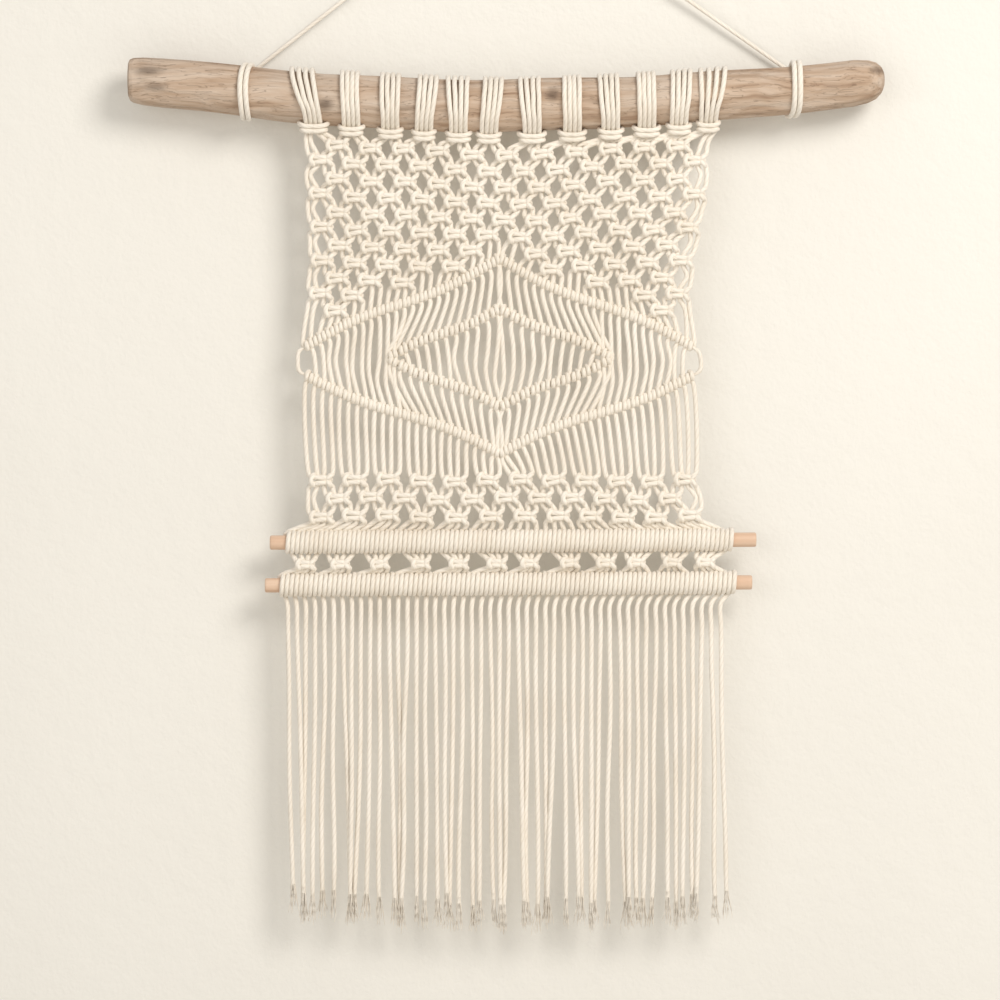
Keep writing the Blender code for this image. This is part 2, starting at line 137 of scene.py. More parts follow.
def chevron(x, side_z, point_z, half_left, half_right):
    half = np.where(x < PANEL_MID_X, half_left, half_right)
    share = 1 - np.minimum(1, np.abs(x - PANEL_MID_X) / half)
    bowed = share + RIDGE_BULGE * np.sin(2 * math.pi * share) / 2
    return side_z + (point_z - side_z) * bowed


def outer_ridge(x, side_z, point_z):
    return chevron(x, side_z, point_z, PANEL_MID_X - left_edge(side_z), right_edge(side_z) - PANEL_MID_X)


def upper_ridge_z(x):
    return outer_ridge(x, UPPER_SIDE_Z, UPPER_PEAK_Z)


def lower_ridge_z(x):
    return outer_ridge(x, LOWER_SIDE_Z, LOWER_POINT_Z)


def inner_top_z(x):
    return chevron(x, (INNER_TOP_Z + INNER_LOW_Z) / 2, INNER_TOP_Z, INNER_HALF, INNER_HALF)


def inner_low_z(x):
    return chevron(x, (INNER_TOP_Z + INNER_LOW_Z) / 2, INNER_LOW_Z, INNER_HALF, INNER_HALF)


def dowel_axis(name, x):
    """Height of a dowel's axis at x, between the middles of its two ends."""
    low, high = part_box("dowel_" + name)
    radius = (high[1] - low[1]) / 2
    share = (x - low[0]) / (high[0] - low[0])
    return low[2] + radius + (high[2] - low[2] - 2 * radius) * share


# ---- the camera ----

CAMERA_AWAY = 3.0
VIEW_WIDE = 0.627         # width of the view at the cloth's plane

lens = bpy.data.cameras.new("camera")
lens.sensor_width = 36.0
lens.lens = 36.0 * (CAMERA_AWAY + CLOTH_Y) / VIEW_WIDE
camera = bpy.data.objects.new("camera", lens)
camera.location = (-0.0038, -CAMERA_AWAY, -0.393)
camera.rotation_euler = (math.pi / 2, 0, 0)
bpy.context.scene.collection.objects.link(camera)
bpy.context.scene.camera = camera


# ---- cords as routes through the knots ----

class Route:
    """The way of one cord: points in order, each with a thickness share, and the zone that it lies in."""

    def __init__(self):
        self.points, self.thick, self.zones = [], [], []

    def add(self, points, zone, thick=1.0):
        for point in points:
            self.points.append(tuple(float(v) for v in point))
            self.thick.append(thick)
            self.zones.append(zone)


def smooth_line(points, extra, per=7):
    """Centripetal Catmull-Rom curve through the points, with the extra columns carried along straight."""
    p = np.asarray(points, float)
    p = np.vstack([2 * p[0] - p[1], p, 2 * p[-1] - p[-2]])
    t = np.concatenate([[0], np.cumsum(np.sqrt(np.linalg.norm(np.diff(p, axis=0), axis=1)) + 1e-6)])
    p0, p1, p2, p3 = p[:-3], p[1:-2], p[2:-1], p[3:]
    t0, t1, t2, t3 = (t[i:len(t) - 3 + i][:, None, None] for i in range(4))
    u = np.linspace(0, 1, per, endpoint=False)[None, :, None]
    s = t1 + (t2 - t1) * u
    p0, p1, p2, p3 = (q[:, None, :] for q in (p0, p1, p2, p3))
    a1 = (t1 - s) / (t1 - t0) * p0 + (s - t0) / (t1 - t0) * p1
    a2 = (t2 - s) / (t2 - t1) * p1 + (s - t1) / (t2 - t1) * p2
    a3 = (t3 - s) / (t3 - t2) * p2 + (s - t2) / (t3 - t2) * p3
    b1 = (t2 - s) / (t2 - t0) * a1 + (s - t0) / (t2 - t0) * a2
    b2 = (t3 - s) / (t3 - t1) * a2 + (s - t1) / (t3 - t1) * a3
    curve = ((t2 - s) / (t2 - t1) * b1 + (s - t1) / (t2 - t1) * b2).reshape(-1, p.shape[1])
    curve = np.vstack([curve, np.asarray(points, float)[-1]])
    at = np.arange(len(curve)) / per
    columns = [np.interp(at, np.arange(len(c)), c) for c in extra]
    return curve, columns


def along(curve):
    """Length along a line at each of its points."""
    return np.concatenate([[0], np.cumsum(np.linalg.norm(np.diff(curve, axis=0), axis=1))])


def turning_frames(lines):
    """Two directions square to each line at every point, carried along without twist.
    lines is (cords, points, 3); each step reflects the last frame twice, for all the cords at once."""
    tangent = np.gradient(lines, axis=1)
    tangent /= np.linalg.norm(tangent, axis=2, keepdims=True) + 1e-12
    first = tangent[:, 0]
    helper = np.where(np.abs(first[:, 1:2]) < 0.8, [[0.0, 1.0, 0.0]], [[1.0, 0.0, 0.0]])
    normal = np.cross(first, helper)
    normal /= np.linalg.norm(normal, axis=1, keepdims=True)
    normals = np.empty_like(lines)
    normals[:, 0] = normal
    for i in range(lines.shape[1] - 1):
        v1 = lines[:, i + 1] - lines[:, i]
        c1 = np.sum(v1 * v1, axis=1, keepdims=True) + 1e-18
        r_left = normals[:, i] - 2 / c1 * np.sum(v1 * normals[:, i], axis=1, keepdims=True) * v1
        t_left = tangent[:, i] - 2 / c1 * np.sum(v1 * tangent[:, i], axis=1, keepdims=True) * v1
        v2 = tangent[:, i + 1] - t_left
        c2 = np.sum(v2 * v2, axis=1, keepdims=True) + 1e-18
        normals[:, i + 1] = r_left - 2 / c2 * np.sum(v2 * r_left, axis=1, keepdims=True) * v2
    normals -= tangent * np.sum(normals * tangent, axis=2, keepdims=True)
    normals /= np.linalg.norm(normals, axis=2, keepdims=True) + 1e-12
    return normals, np.cross(tangent, normals)


def tube_arrays(lines, radii, lengths, sides, frames):
    """Tubes along many lines at once: a ring of sides points round each station, and a closing point at
    each end. Returns points, quads and triangles as index arrays, and each corner's uv: share of the way
    round the cord, and length along it in metres."""
    cords, stations = lines.shape[:2]
    normal, binormal = frames
    turn = np.arange(sides) * 2 * math.pi / sides
    ring = (np.cos(turn)[None, None, :, None] * normal[:, :, None, :]
            + np.sin(turn)[None, None, :, None] * binormal[:, :, None, :])
    points = (lines[:, :, None, :] + radii[:, :, None, None] * ring).reshape(-1, 3)
    base = (np.arange(cords)[:, None, None] * stations + np.arange(stations - 1)[None, :, None]) * sides
    k = np.arange(sides)[None, None, :]
    nxt = (k + 1) % sides
    quads = np.stack([base + k, base + nxt, base + sides + nxt, base + sides + k], axis=-1).reshape(-1, 4)
    shape = (cords, stations - 1, sides, 4)
    around = np.broadcast_to(np.stack([k, k + 1, k + 1, k], -1) / sides, shape)
    s = lengths
    rise = np.stack([s[:, :-1], s[:, :-1], s[:, 1:], s[:, 1:]], axis=-1)
    rise = np.broadcast_to(rise[:, :, None, :], shape)
    quad_uv = np.stack([around, rise], axis=-1).reshape(-1, 4, 2)
    tip = len(points) + np.arange(2 * cords)
    first = np.arange(cords)[:, None] * stations * sides + np.arange(sides)[None, :]
    last = first + (stations - 1) * sides
    turned = np.roll(np.arange(sides), -1)
    cap_a = np.stack([np.broadcast_to(tip[:cords, None], first.shape), first[:, turned], first], -1)
    cap_b = np.stack([np.broadcast_to(tip[cords:, None], last.shape), last, last[:, turned]], -1)
    caps = np.concatenate([cap_a.reshape(-1, 3), cap_b.reshape(-1, 3)])
    cap_s = np.concatenate([np.repeat(s[:, 0], sides), np.repeat(s[:, -1], sides)])
    cap_uv = np.stack([np.full((len(caps), 3), 0.5), np.repeat(cap_s[:, None], 3, 1)], axis=-1)
    return np.vstack([points, lines[:, 0], lines[:, -1]]), quads, caps, quad_uv, cap_uv


CAP_ANGLE = math.radians(72)      # sharper than this, as at a cord's cut end, an edge isn't smoothed


def add_object(name, mesh, finish):
    mesh.materials.append(finish)
    made = bpy.data.objects.new(name, mesh)
    bpy.context.scene.collection.objects.link(made)
    return made


def add_piece(name, mesh, finish):
    made = add_object(name, mesh, finish)
    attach(made, "root")
    return made


def build_mesh(name, parts, finish):
    """One object from a list of tube_arrays results, with a uv map called cord."""
    points, loops, starts, uvs = [], [], [], []
    offset = 0
    for pts, quads, tris, quad_uv, tri_uv in parts:
        points.append(pts)
        loops += [(quads + offset).reshape(-1), (tris + offset).reshape(-1)]
        starts += [np.full(len(quads), 4), np.full(len(tris), 3)]
        uvs += [quad_uv.reshape(-1, 2), tri_uv.reshape(-1, 2)]
        offset += len(pts)
    points = np.concatenate(points)
    loops = np.concatenate(loops).astype(np.int32)
    sizes = np.concatenate(starts)
    first = np.concatenate([[0], np.cumsum(sizes)[:-1]]).astype(np.int32)
    mesh = bpy.data.meshes.new(name)
    mesh.vertices.add(len(points))
    mesh.vertices.foreach_set("co", points.reshape(-1))
    mesh.loops.add(len(loops))
    mesh.loops.foreach_set("vertex_index", loops)
    mesh.polygons.add(len(sizes))
    mesh.polygons.foreach_set("loop_start", first)
    mesh.update(calc_edges=True)
    layer = mesh.uv_layers.new(name="cord")
    layer.data.foreach_set("uv", np.concatenate(uvs).reshape(-1))
    mesh.shade_smooth()
    mesh.set_sharp_from_angle(angle=CAP_ANGLE)
    mesh.validate()
    return add_piece(name, mesh, finish)


# ---- materials ----

def group_socket(group, name, kind, way, value=None):
    made = group.interface.new_socket(name=name, in_out=way, socket_type=kind)
    if value is not None:
        made.default_value = value
    return made


def new_group(name, inputs, outputs):
    """A shader node group with named sockets: inputs and outputs are (name, kind, default) rows."""
    group = bpy.data.node_groups.new(name, "ShaderNodeTree")
    for label, kind, value in inputs:
        group_socket(group, label, kind, "INPUT", value)
    for label, kind, value in outputs:
        group_socket(group, label, kind, "OUTPUT", value)
    return group, group.nodes.new("NodeGroupInput"), group.nodes.new("NodeGroupOutput")


def maths(tree, operation, first, second=None, third=None):
    """A Math node whose inputs are sockets or numbers; returns its output."""
    node = tree.nodes.new("ShaderNodeMath")
    node.operation = operation
    for slot, value in zip(node.inputs, (first, second, third)):
        if value is None:
            continue
        if isinstance(value, (int, float)):
            slot.default_value = value
        else:
            tree.links.new(value, slot)
    return node.outputs[0]


def noise(tree, vector, scale, detail=3.0, roughness=0.55):
    node = tree.nodes.new("ShaderNodeTexNoise")
    node.inputs["Scale"].default_value = scale
    node.inputs["Detail"].default_value = detail
    node.inputs["Roughness"].default_value = roughness
    tree.links.new(vector, node.inputs["Vector"])
    return node.outputs["Fac"]


def ramp(tree, value, stops):
    """A colour ramp: stops are (position, colour)."""
    node = tree.nodes.new("ShaderNodeValToRGB")
    elements = node.color_ramp.elements
    while len(elements) < len(stops):
        elements.new(0.5)
    for element, (position, colour) in zip(elements, stops):
        element.position = position
        element.color = (*colour, 1)
    tree.links.new(value, node.inputs["Fac"])
    return node.outputs["Color"]


def mix(tree, factor, first, second, blend="MIX"):
    node = tree.nodes.new("ShaderNodeMix")
    node.data_type = "RGBA"
    node.blend_type = blend
    for label, value in ((0, factor), (6, first), (7, second)):
        slot = node.inputs[label]
        if isinstance(value, (int, float)):
            slot.default_value = value
        elif isinstance(value, tuple):
            slot.default_value = (*value, 1)
        else:
            tree.links.new(value, slot)
    return node.outputs[2]


def bump(tree, height, strength, distance):
    node = tree.nodes.new("ShaderNodeBump")
    node.inputs["Strength"].default_value = strength
    node.inputs["Distance"].default_value = distance
    tree.links.new(height, node.inputs["Height"])
    return node.outputs["Normal"]


def vector_maths(tree, operation, *values):
    """A Vector Math node whose inputs are sockets or triples; returns its outputs."""
    node = tree.nodes.new("ShaderNodeVectorMath")
    node.operation = operation
    for slot, value in zip(node.inputs, values):
        if isinstance(value, tuple):
            slot.default_value = value
        else:
            tree.links.new(value, slot)
    return node.outputs


def new_material(name):
    """A material, its node tree, its shader and the place on the piece."""
    made = bpy.data.materials.new(name)
    made.use_nodes = True
    tree = made.node_tree
    place = tree.nodes.new("ShaderNodeTexCoord").outputs["Object"]
    return made, tree, tree.nodes["Principled BSDF"], place


def twisted_yarn_group():
    """Height of a softly twisted cord, and a mask for painted shade in the grooves between its strands: three
    strands wind round it once each lay length, with fine fibres lying along them."""
    group, start, end = new_group(
        "twisted_yarn",
        [("Around", "NodeSocketFloat", 0.0), ("Along", "NodeSocketFloat", 0.0),
         ("Lay", "NodeSocketFloat", 0.014), ("Strands", "NodeSocketFloat", 3.0)],
        [("Height", "NodeSocketFloat", None), ("GrooveShade", "NodeSocketFloat", None)])
    around, run, lay, strands = (start.outputs[name] for name in ("Around", "Along", "Lay", "Strands"))
    turned = maths(group, "SUBTRACT", around, maths(group, "DIVIDE", run, lay))
    phase = maths(group, "MULTIPLY", turned, strands)
    wave = maths(group, "ABSOLUTE", maths(group, "SINE", maths(group, "MULTIPLY", phase, math.pi)))
    crown = maths(group, "POWER", wave, 0.45)
    space = group.nodes.new("ShaderNodeCombineXYZ")
    group.links.new(maths(group, "MULTIPLY", turned, 30.0), space.inputs[0])
    group.links.new(maths(group, "MULTIPLY", run, 90.0), space.inputs[1])
    fibre = noise(group, space.outputs[0], 1.0, 4.0, 0.7)
    group.links.new(maths(group, "ADD", crown, maths(group, "MULTIPLY", fibre, 0.5)), end.inputs["Height"])
    # mask for painted shade: one where the strands dip into a groove, none on their crowns
    group.links.new(maths(group, "SUBTRACT", 1.0, crown), end.inputs["GrooveShade"])
    return group


def cotton_material(group):
    """Undyed cotton: cream and uneven along the cords, with painted shade in the grooves between strands,
    matte and downy.
    """
    made, tree, shader, place = new_material("cotton_cord")
    where = tree.nodes.new("ShaderNodeUVMap")
    where.uv_map = "cord"
    split = tree.nodes.new("ShaderNodeSeparateXYZ")
    tree.links.new(where.outputs["UV"], split.inputs[0])
    yarn = tree.nodes.new("ShaderNodeGroup")
    yarn.node_tree = group
    tree.links.new(split.outputs[0], yarn.inputs["Around"])
    tree.links.new(split.outputs[1], yarn.inputs["Along"])
    yarn.inputs["Lay"].default_value = 0.016
    blotch = noise(tree, place, 38.0, 3.0)
    colour = ramp(tree, blotch, ((0.25, (0.84, 0.765, 0.655)),
                                  (0.55, (0.90, 0.835, 0.735)), (0.85, (0.93, 0.875, 0.79))))
    # painted shade: the colour goes darker in the grooves between the strands
    colour = mix(tree, maths(tree, "MULTIPLY", yarn.outputs["GrooveShade"], 0.35), colour, (0.66, 0.57, 0.46))
    tree.links.new(colour, shader.inputs["Base Color"])
    shader.inputs["Roughness"].default_value = 0.92
    shader.inputs["Specular IOR Level"].default_value = 0.15
    shader.inputs["Sheen Weight"].default_value = 0.25
    shader.inputs["Sheen Roughness"].default_value = 0.6
    shader.inputs["Sheen Tint"].default_value = (1.0, 0.97, 0.92, 1)
    tree.links.new(bump(tree, yarn.outputs["Height"], 0.55, 0.0004), shader.inputs["Normal"])
    return made


def wood_grain_group():
    """Shade and height of long grain along x: broad streaks, fine fibres, and sparse dark cracks."""
    group, start, end = new_group(
        "wood_grain",
        [("Place", "NodeSocketVector", None), ("Stretch", "NodeSocketFloat", 14.0)],
        [("Streaks", "NodeSocketFloat", None), ("Fibres", "NodeSocketFloat", None),
         ("Cracks", "NodeSocketFloat", None)])
    parts = group.nodes.new("ShaderNodeSeparateXYZ")
    group.links.new(start.outputs["Place"], parts.inputs[0])
    joined = group.nodes.new("ShaderNodeCombineXYZ")
    group.links.new(maths(group, "DIVIDE", parts.outputs[0], start.outputs["Stretch"]), joined.inputs[0])
    group.links.new(parts.outputs[1], joined.inputs[1])
    group.links.new(parts.outputs[2], joined.inputs[2])
    group.links.new(noise(group, joined.outputs[0], 190.0, 3.0), end.inputs["Streaks"])
    group.links.new(noise(group, joined.outputs[0], 1300.0, 3.0, 0.65), end.inputs["Fibres"])
    crack = noise(group, joined.outputs[0], 420.0, 2.0, 0.5)
    thin = maths(group, "ABSOLUTE", maths(group, "SUBTRACT", crack, 0.5))
    group.links.new(maths(group, "LESS_THAN", thin, 0.006), end.inputs["Cracks"])
    return group


def grain(tree, group, place, stretch):
    node = tree.nodes.new("ShaderNodeGroup")
    node.node_tree = group
    node.inputs["Stretch"].default_value = stretch
    tree.links.new(place, node.inputs["Place"])
    return node.outputs


# knots and stains of the branch: (x, y, z, size along, size up, strength)
BRANCH_KNOTS = (
    (-0.1135, -0.026, -0.1460, 0.0050, 0.0040, 1.0),
    (0.0292, -0.026, -0.1395, 0.0045, 0.0042, 1.0),
    (-0.2240, -0.024, -0.1245, 0.0090, 0.0030, 0.9),
    (-0.2190, -0.022, -0.1345, 0.0070, 0.0022, 0.7),
    (0.2330, -0.020, -0.1240, 0.0060, 0.0024, 0.9),
    (0.0600, -0.026, -0.1440, 0.0100, 0.0016, 0.4),
    (-0.0640, -0.026, -0.1480, 0.0120, 0.0018, 0.4),
)


def driftwood_material(group):
    """Weathered wood: pale greyed tan with brown streaks, fine cracks, dark knots and greyer blotches."""
    made, tree, shader, place = new_material("weathered_driftwood")
    warp = tree.nodes.new("ShaderNodeTexNoise")
    warp.inputs["Scale"].default_value = 22.0
    tree.links.new(place, warp.inputs["Vector"])
    bent = vector_maths(tree, "MULTIPLY_ADD", warp.outputs["Color"], (0.0, 0.010, 0.010), place)[0]
    wood = grain(tree, group, bent, 13.0)
    colour = ramp(tree, wood["Streaks"], ((0.30, (0.36, 0.235, 0.155)), (0.42, (0.53, 0.385, 0.275)),
                                          (0.54, (0.63, 0.49, 0.375)), (0.72, (0.72, 0.60, 0.49))))
    colour = mix(tree, maths(tree, "MULTIPLY", wood["Fibres"], 0.45), colour, (0.36, 0.25, 0.17))
    blotch = noise(tree, place, 26.0, 2.0)
    grey = ramp(tree, blotch, ((0.45, (0, 0, 0)), (0.75, (1, 1, 1))))
    colour = mix(tree, maths(tree, "MULTIPLY", grey, 0.35), colour, (0.56, 0.50, 0.43))
    colour = mix(tree, maths(tree, "MULTIPLY", wood["Cracks"], 0.45), colour, (0.16, 0.10, 0.065))
    dark = None
    for x, y, z, long, tall, strength in BRANCH_KNOTS:
        centre = vector_maths(tree, "SUBTRACT", place, (x, y, z))[0]
        scaled = vector_maths(tree, "DIVIDE", centre, (long, 0.012, tall))[0]
        size = vector_maths(tree, "LENGTH", scaled)
        ragged = maths(tree, "ADD", size["Value"], maths(tree, "MULTIPLY", wood["Fibres"], 0.8))
        spot = maths(tree, "MULTIPLY", maths(tree, "SMOOTH_MIN", maths(tree, "MAXIMUM", maths(
            tree, "SUBTRACT", 1.75, ragged), 0.0), 1.0, 0.2), strength)
        dark = spot if dark is None else maths(tree, "MAXIMUM", dark, spot)
    colour = mix(tree, maths(tree, "MULTIPLY", dark, 0.75), colour, (0.145, 0.10, 0.07))
    tree.links.new(colour, shader.inputs["Base Color"])
    tree.links.new(maths(tree, "MULTIPLY_ADD", wood["Fibres"], 0.25, 0.62), shader.inputs["Roughness"])
    shader.inputs["Specular IOR Level"].default_value = 0.25
    height = maths(tree, "MULTIPLY_ADD", wood["Streaks"], 0.8, maths(tree, "MULTIPLY", wood["Fibres"], 0.35))
    height = maths(tree, "SUBTRACT", height, maths(tree, "MULTIPLY", wood["Cracks"], 0.5))
    height = maths(tree, "SUBTRACT", height, maths(tree, "MULTIPLY", dark, 0.25))
    tree.links.new(bump(tree, height, 0.7, 0.0012), shader.inputs["Normal"])
    return made


def birch_material(group):
    """Sanded birch: pinkish pale, with faint straight grain."""
    made, tree, shader, place = new_material("sanded_birch")
    wood = grain(tree, group, place, 30.0)
    colour = ramp(tree, wood["Streaks"], ((0.3, (0.66, 0.43, 0.29)),
                                          (0.5, (0.74, 0.52, 0.37)), (0.7, (0.79, 0.59, 0.44))))
    colour = mix(tree, maths(tree, "MULTIPLY", wood["Fibres"], 0.25), colour, (0.55, 0.35, 0.22))
    tree.links.new(colour, shader.inputs["Base Color"])
    tree.links.new(maths(tree, "MULTIPLY_ADD", wood["Fibres"], 0.2, 0.5), shader.inputs["Roughness"])
    tree.links.new(bump(tree, wood["Fibres"], 0.35, 0.0003), shader.inputs["Normal"])
    return made


def wall_material():
    """Painted plaster, seen from the front only: its back lets the view through."""
    made, tree, shader, place = new_material("painted_wall")
    tone = noise(tree, place, 3.0, 2.0)
    paint = ramp(tree, tone, ((0.3, (0.80, 0.775, 0.715)), (0.7, (0.83, 0.805, 0.745))))
    tree.links.new(paint, shader.inputs["Base Color"])
    shader.inputs["Roughness"].default_value = 0.9
    lumps = maths(tree, "MULTIPLY_ADD", noise(tree, place, 60.0, 4.0), 1.0, maths(
        tree, "MULTIPLY", noise(tree, place, 320.0, 2.0), 0.25))
    tree.links.new(bump(tree, lumps, 0.25, 0.004), shader.inputs["Normal"])
    clear = tree.nodes.new("ShaderNodeBsdfTransparent")
    pick = tree.nodes.new("ShaderNodeMixShader")
    side = tree.nodes.new("ShaderNodeNewGeometry")
    tree.links.new(side.outputs["Backfacing"], pick.inputs[0])
    tree.links.new(shader.outputs[0], pick.inputs[1])
    tree.links.new(clear.outputs[0], pick.inputs[2])
    tree.links.new(pick.outputs[0], tree.nodes["Material Output"].inputs["Surface"])
    return made


def floor_material():
    made, tree, shader, place = new_material("pale_floor")
    tone = ramp(tree, noise(tree, place, 5.0, 2.0), ((0.3, (0.80, 0.78, 0.74)), (0.7, (0.84, 0.82, 0.78))))
    tree.links.new(tone, shader.inputs["Base Color"])
    shader.inputs["Roughness"].default_value = 0.8
    return made


cotton = cotton_material(twisted_yarn_group())
wood_grain = wood_grain_group()
grey_wood, birch = driftwood_material(wood_grain), birch_material(wood_grain)


# ---- knots ----

# A square knot in cord widths: right, down and forward of its middle. The carrying cord crosses in
# front twice, the locking cord goes behind and up through the loops, and two cords run straight through.
CARRYING = (
    (-2.25, -1.18, 0.00), (-1.90, -0.70, 0.20), (-0.75, -0.50, 0.85), (0.60, -0.46, 0.92),
    (1.55, -0.34, 0.30), (1.92, 0.02, -0.15), (1.50, 0.36, 0.25), (0.60, 0.42, 0.90),
    (-0.60, 0.52, 0.90), (-1.70, 0.78, 0.30), (-2.22, 1.18, 0.00),
)
LOCKING = (
    (2.25, -1.18, 0.10), (1.85, -0.78, 0.80), (1.42, -0.32, 0.95), (1.02, -0.02, -0.05),
    (0.35, -0.15, -0.90), (-0.45, -0.35, -0.90), (-1.10, -0.98, -0.05), (-1.50, -0.78, 0.95),
    (-1.82, 0.00, 1.15), (-1.50, 0.70, 1.00), (-1.04, 0.95, -0.05), (-0.40, 0.40, -0.90),
    (0.40, 0.20, -0.90), (1.04, 0.10, 0.00), (1.42, 0.40, 1.00), (1.85, 0.82, 0.85), (2.22, 1.18, 0.10),
)
FILLER_LEFT = ((-0.64, -1.22, 0.0), (-0.47, -0.72, 0.0), (-0.47, 0.72, 0.0), (-0.64, 1.22, 0.0))
FILLER_RIGHT = ((0.64, -1.22, 0.0), (0.47, -0.72, 0.0), (0.47, 0.72, 0.0), (0.64, 1.22, 0.0))
ROLES = tuple(np.array(role) for role in (CARRYING, FILLER_LEFT, FILLER_RIGHT, LOCKING))
CORD_WIDTH = 0.0033       # the knots' own measure: cord and a little slack
KNOT_FULL = 1.06


def square_knot(four, x, z, zone, wide=1.0, high=1.0, turn=0.0, forward=0.0):
    """Four cords through one square knot at (x, z), stretched and turned a little."""
    cos, sin = math.cos(turn), math.sin(turn)
    for route, role in zip(four, ROLES):
        u, v, w = role[:, 0] * wide, role[:, 1] * high, role[:, 2]
        px = x + CORD_WIDTH * (u * cos - v * sin)
        pz = z - CORD_WIDTH * (u * sin + v * cos)
        py = CLOTH_Y - CORD_WIDTH * w - forward
        route.add(np.stack([px, py, pz], axis=1), zone, KNOT_FULL)


HITCH_TURNS = 2.40
HITCH_POINTS = 17


def hitch(route, centre, along_x, along_z, wrap_r, zone, side, step):
    """Two turns round a leader or a dowel at centre: down behind, up in front, twice, and out below
    between them. side is +1 where the second turn lies to the right of the first, or -1."""
    cx, cy, cz = centre
    turns = np.linspace(0.08, HITCH_TURNS, HITCH_POINTS)
    late = np.clip((turns - 2.0) / 0.4, 0, 1)
    shift = side * step * (np.minimum(turns, 1.95) - 1.22 - 0.75 * late)
    radius = wrap_r + 1.9 * GRIP_R * np.sin(math.pi * late)
    angle = 2 * math.pi * turns
    up, back = np.cos(angle) * radius, np.sin(angle) * radius
    px = cx + along_x * shift - along_z * up
    pz = cz + along_z * shift + along_x * up
    route.add(np.stack([px, cy + back, pz], axis=1), zone, GRIP_R / CORD_R)


ZONES = ("mount", "upper", "panel", "lower", "band_upper", "bridge", "band_lower", "fringe")
routes = [Route() for _ in range(CORDS)]


def uneven(x, z, size=0.0007):
    """Hand-made drift: a slow wander of the whole cloth, sideways and up and down."""
    dx = np.sin(31 * x + 47 * z + 1.3) + 0.6 * np.sin(83 * z - 40 * x + 4.1)
    dz = np.sin(58 * x + 1.9 + 20 * z) + 0.6 * np.sin(-37 * z + 96 * x + 0.4)
    return size * dx, size * dz


def mounting_group(number):
    """Two cords folded together: the folds lie one over the other as a bar under the branch, their four
    legs go up behind the branch, over the top, down its front side by side, and behind the bar."""
    low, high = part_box(f"mounting_knot_{number + 1:02d}")
    ring_x = (low[0] + high[0]) / 2
    lean, spread = GROUP_LEAN[number], GROUP_SPREAD[number]
    x_top, x_bar = ring_x + lean / 2, ring_x - lean / 2
    bar_z = float(branch_z(x_bar) - branch_r(x_bar)) - BAR_BELOW
    y = CLOTH_Y - BAR_FORWARD
    angles = np.radians((-62, -30, 5, 40, 75, 110, 140, 165, 190, 212))
    share = np.linspace(0, 1, len(angles))
    for k, route in enumerate(routes[4 * number:4 * number + 4]):
        side = -1 if k < 2 else 1
        outer = k in (0, 3)
        reach = BAR_REACH[number] * (1.0 if outer else 0.88) + rng.uniform(-0.0003, 0.0003)
        z = bar_z + (CORD_R if outer else -CORD_R)
        tip = 0.0013 if outer else 0.0006
        route.add((
            (x_bar - side * 0.0010, y, z - 0.0005),
            (x_bar + side * 0.0010, y, z - 0.0005),
            (x_bar + side * reach * 0.50, y, z - 0.0004),
            (x_bar + side * reach * 0.80, y + 0.0006, z + 0.2 * tip),
            (x_bar + side * reach, y + 0.0030, z + tip),
            (x_bar + side * reach * 0.98, y + 0.0068, z + 2 * tip),
        ), "mount")
        place = (k - 1.5) / 3
        x_start = x_bar + side * reach * (0.92 if outer else 0.66)
        x_front = x_top + place * spread
        x_low = x_bar + place * 0.0088
        over = np.clip(share / 0.42, 0, 1) ** 0.8
        down = np.clip((share - 0.60) / 0.40, 0, 1) ** 1.4
        xs = x_start + (x_front - x_start) * over + (x_low - x_front) * down * 0.85
        xs = xs + rng.normal(0, 0.00012, len(xs))
        r = branch_r(xs) + CORD_R
        ys = BRANCH_Y + r * np.cos(angles)
        zs = branch_z(xs) + r * np.sin(angles)
        route.add(np.stack([xs, ys, zs], axis=1), "mount")
        route.add(((x_low, CLOTH_Y - 0.0010, bar_z + 0.0026), (x_low, CLOTH_Y, bar_z - 0.0012)), "mount")


def row_z(row, x):
    rise = NET_RISE * (np.abs(x) / NET_RISE_AT) ** BOW_POWER
    return NET_FIRST_ROW_Z - NET_ROW * row + rise * (1 - row / (2 * NET_ROWS))


def net_knots(rows, first_full, z_of, free_above):
    """Every square knot of a net as (row, first cord, x, z): a full row has a knot under each group, the
    next row one between each two groups."""
    found = []
    for row in range(rows):
        full = (row % 2 == 0) == first_full
        for i in range(GROUPS if full else GROUPS - 1):
            place = i + (0.5 if full else 1.0)
            x = float(place_x(z_of(row, 0.0), place))
            z = float(z_of(row, x))
            x = float(place_x(z, place))
            if free_above(x, z):
                dx, dz = uneven(x, z)
                found.append((row, 4 * i + (0 if full else 2), x + dx, z + dz))
    return found


def net(rows, first_full, z_of, free_above, zone):
    """A net of alternating square knots, with two free cords at each edge beside every other row."""
    knots = net_knots(rows, first_full, z_of, free_above)
    for row in range(rows):
        for knot_row, first, x, z in knots:
            if knot_row == row:
                square_knot(routes[first:first + 4], x, z, zone, rng.uniform(0.96, 1.04),
                            rng.uniform(0.96, 1.04), rng.normal(0, 0.05), rng.normal(0, 0.0003))
        if (row % 2 == 0) != first_full:
            for cord in (0, 1, CORDS - 2, CORDS - 1):
                left = cord < GROUPS
                edge_x = left_edge if left else right_edge
                z = float(z_of(row, float(edge_x(z_of(row, 0.12)))))
                inset = 0.0024 + 0.0033 * (cord if left else CORDS - 1 - cord)
                x = float(edge_x(z)) + (inset if left else -inset)
                if free_above(x, z):
                    routes[cord].add([(x + rng.normal(0, 0.0003), CLOTH_Y, z)], zone)


# ---- the middle panel ----

RIDGE_STEP = 2 * GRIP_R * 1.02
LEADER_THIN = 0.50        # a leader's thickness inside its hitches, pulled thin
EDGE_GAP = 0.0030


def slope_of(line, x):
    """Unit direction along a ridge line at x, to the right."""
    step = 0.001
    rise = float(line(x + step) - line(x - step)) / (2 * step)
    size = math.hypot(1, rise)
    return 1 / size, rise / size


